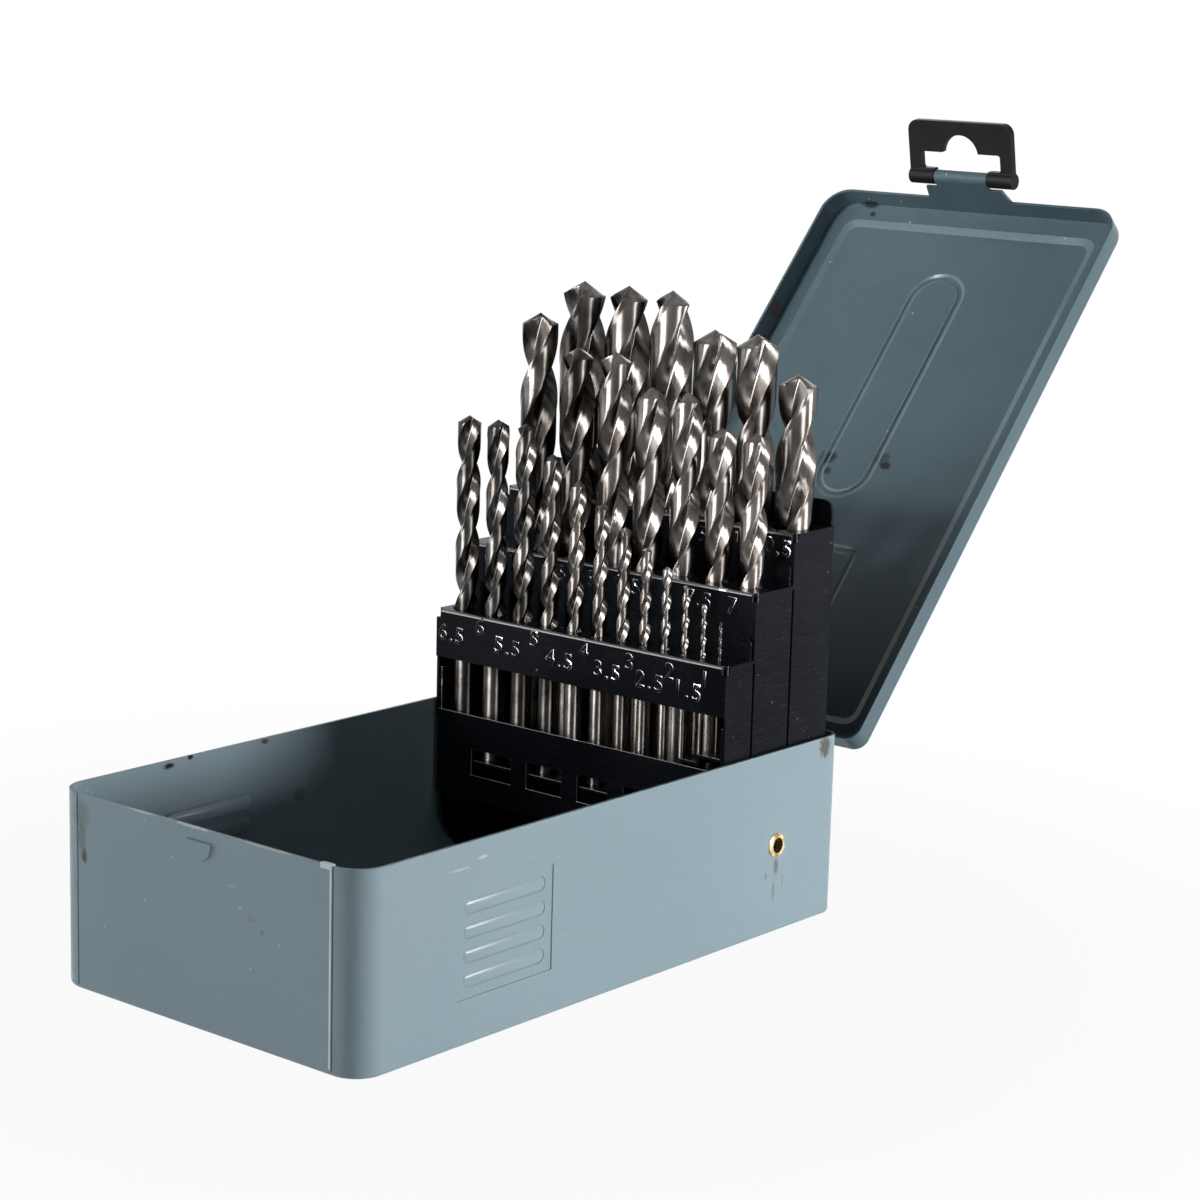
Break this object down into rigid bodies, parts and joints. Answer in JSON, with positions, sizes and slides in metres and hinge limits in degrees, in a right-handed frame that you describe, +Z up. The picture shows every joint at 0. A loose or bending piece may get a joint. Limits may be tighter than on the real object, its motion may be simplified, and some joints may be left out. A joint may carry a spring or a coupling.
{
  "type": "drill bit case",
  "caption": "Folded sheet-metal drill index with a hinged lid, a tiered rack that swings up, twist drills and a hook tab.",
  "frame": {"origin": "middle of the case's underside", "axes": "+Z up, +Y from the front panel to the lid's hinge, +X to the right seen from the front"},
  "size_m": [0.1032, 0.3144, 0.2044],
  "materials": {
    "body_paint": "blue-grey enamel, chipped at the rim",
    "lid_paint": "blue-grey enamel, darker and dusty inside",
    "rack_paint": "glossy blue-black enamel",
    "hang_plastic": "moulded black",
    "pin_steel": "plain wire",
    "eyelet_brass": "rolled rivet",
    "drill_steel": "polished flutes, ground shanks"
  },
  "bodies": {
    "case": {"case_body": "body_paint", "hinge_leaf": "body_paint", "hinge_pin": "pin_steel", "eyelet_left": "eyelet_brass", "eyelet_right": "eyelet_brass"},
    "rack": {"rack_frame": "rack_paint", "rack_front_plate": "rack_paint", "rack_floor": "rack_paint", "short_bit_step": "rack_paint", "tier_front": "rack_paint", "tier_middle": "rack_paint", "tier_rear": "rack_paint"},
    "lid": {"lid": "lid_paint", "hanger_pin": "pin_steel"},
    "hanger": {"hanger": "hang_plastic"},
    "drill_6_5": {"drill_6_5": "drill_steel"},
    "drill_6_0": {"drill_6_0": "drill_steel"},
    "drill_5_5": {"drill_5_5": "drill_steel"},
    "drill_5_0": {"drill_5_0": "drill_steel"},
    "drill_4_5": {"drill_4_5": "drill_steel"},
    "drill_4_0": {"drill_4_0": "drill_steel"},
    "drill_3_5": {"drill_3_5": "drill_steel"},
    "drill_3_0": {"drill_3_0": "drill_steel"},
    "drill_2_5": {"drill_2_5": "drill_steel"},
    "drill_2_0": {"drill_2_0": "drill_steel"},
    "drill_1_5": {"drill_1_5": "drill_steel"},
    "drill_1_0": {"drill_1_0": "drill_steel"},
    "drill_10_0": {"drill_10_0": "drill_steel"},
    "drill_9_5": {"drill_9_5": "drill_steel"},
    "drill_9_0": {"drill_9_0": "drill_steel"},
    "drill_8_5": {"drill_8_5": "drill_steel"},
    "drill_8_0": {"drill_8_0": "drill_steel"},
    "drill_7_5": {"drill_7_5": "drill_steel"},
    "drill_7_0": {"drill_7_0": "drill_steel"},
    "drill_13_0": {"drill_13_0": "drill_steel"},
    "drill_12_5": {"drill_12_5": "drill_steel"},
    "drill_12_0": {"drill_12_0": "drill_steel"},
    "drill_11_5": {"drill_11_5": "drill_steel"},
    "drill_11_0": {"drill_11_0": "drill_steel"},
    "drill_10_5": {"drill_10_5": "drill_steel"}
  },
  "joints": [
    {"name": "rack_pivot", "type": "hinge", "parent": "case", "child": "rack", "pos_m": [0, 0.0636, 0.0238], "axis": [-1, 0, 0], "range_deg": [-90, 0]},
    {"name": "lid_hinge", "type": "hinge", "parent": "case", "child": "lid", "pos_m": [0, 0.09285, 0.046], "axis": [-1, 0, 0], "range_deg": [-132, 0]},
    {"name": "hanger_pivot", "type": "hinge", "parent": "lid", "child": "hanger", "pos_m": [0, 0.21409, 0.18753], "axis": [-1, 0, 0], "range_deg": [-37, 143]},
    {"name": "draw_6_5", "type": "slide", "parent": "rack", "child": "drill_6_5", "axis": [0, 0, 1], "range_m": [0, 0.046]},
    {"name": "draw_6_0", "type": "slide", "parent": "rack", "child": "drill_6_0", "axis": [0, 0, 1], "range_m": [0, 0.046]},
    {"name": "draw_5_5", "type": "slide", "parent": "rack", "child": "drill_5_5", "axis": [0, 0, 1], "range_m": [0, 0.046]},
    {"name": "draw_5_0", "type": "slide", "parent": "rack", "child": "drill_5_0", "axis": [0, 0, 1], "range_m": [0, 0.046]},
    {"name": "draw_4_5", "type": "slide", "parent": "rack", "child": "drill_4_5", "axis": [0, 0, 1], "range_m": [0, 0.046]},
    {"name": "draw_4_0", "type": "slide", "parent": "rack", "child": "drill_4_0", "axis": [0, 0, 1], "range_m": [0, 0.046]},
    {"name": "draw_3_5", "type": "slide", "parent": "rack", "child": "drill_3_5", "axis": [0, 0, 1], "range_m": [0, 0.046]},
    {"name": "draw_3_0", "type": "slide", "parent": "rack", "child": "drill_3_0", "axis": [0, 0, 1], "range_m": [0, 0.046]},
    {"name": "draw_2_5", "type": "slide", "parent": "rack", "child": "drill_2_5", "axis": [0, 0, 1], "range_m": [0, 0.046]},
    {"name": "draw_2_0", "type": "slide", "parent": "rack", "child": "drill_2_0", "axis": [0, 0, 1], "range_m": [0, 0.046]},
    {"name": "draw_1_5", "type": "slide", "parent": "rack", "child": "drill_1_5", "axis": [0, 0, 1], "range_m": [0, 0.046]},
    {"name": "draw_1_0", "type": "slide", "parent": "rack", "child": "drill_1_0", "axis": [0, 0, 1], "range_m": [0, 0.046]},
    {"name": "draw_10_0", "type": "slide", "parent": "rack", "child": "drill_10_0", "axis": [0, 0, 1], "range_m": [0, 0.075]},
    {"name": "draw_9_5", "type": "slide", "parent": "rack", "child": "drill_9_5", "axis": [0, 0, 1], "range_m": [0, 0.075]},
    {"name": "draw_9_0", "type": "slide", "parent": "rack", "child": "drill_9_0", "axis": [0, 0, 1], "range_m": [0, 0.075]},
    {"name": "draw_8_5", "type": "slide", "parent": "rack", "child": "drill_8_5", "axis": [0, 0, 1], "range_m": [0, 0.075]},
    {"name": "draw_8_0", "type": "slide", "parent": "rack", "child": "drill_8_0", "axis": [0, 0, 1], "range_m": [0, 0.075]},
    {"name": "draw_7_5", "type": "slide", "parent": "rack", "child": "drill_7_5", "axis": [0, 0, 1], "range_m": [0, 0.075]},
    {"name": "draw_7_0", "type": "slide", "parent": "rack", "child": "drill_7_0", "axis": [0, 0, 1], "range_m": [0, 0.075]},
    {"name": "draw_13_0", "type": "slide", "parent": "rack", "child": "drill_13_0", "axis": [0, 0, 1], "range_m": [0, 0.099]},
    {"name": "draw_12_5", "type": "slide", "parent": "rack", "child": "drill_12_5", "axis": [0, 0, 1], "range_m": [0, 0.099]},
    {"name": "draw_12_0", "type": "slide", "parent": "rack", "child": "drill_12_0", "axis": [0, 0, 1], "range_m": [0, 0.099]},
    {"name": "draw_11_5", "type": "slide", "parent": "rack", "child": "drill_11_5", "axis": [0, 0, 1], "range_m": [0, 0.099]},
    {"name": "draw_11_0", "type": "slide", "parent": "rack", "child": "drill_11_0", "axis": [0, 0, 1], "range_m": [0, 0.099]},
    {"name": "draw_10_5", "type": "slide", "parent": "rack", "child": "drill_10_5", "axis": [0, 0, 1], "range_m": [0, 0.099]}
  ],
  "couplings": [
    {"joint": "lid_hinge", "follows": "rack_pivot", "ratio": 1.4667}
  ]
}
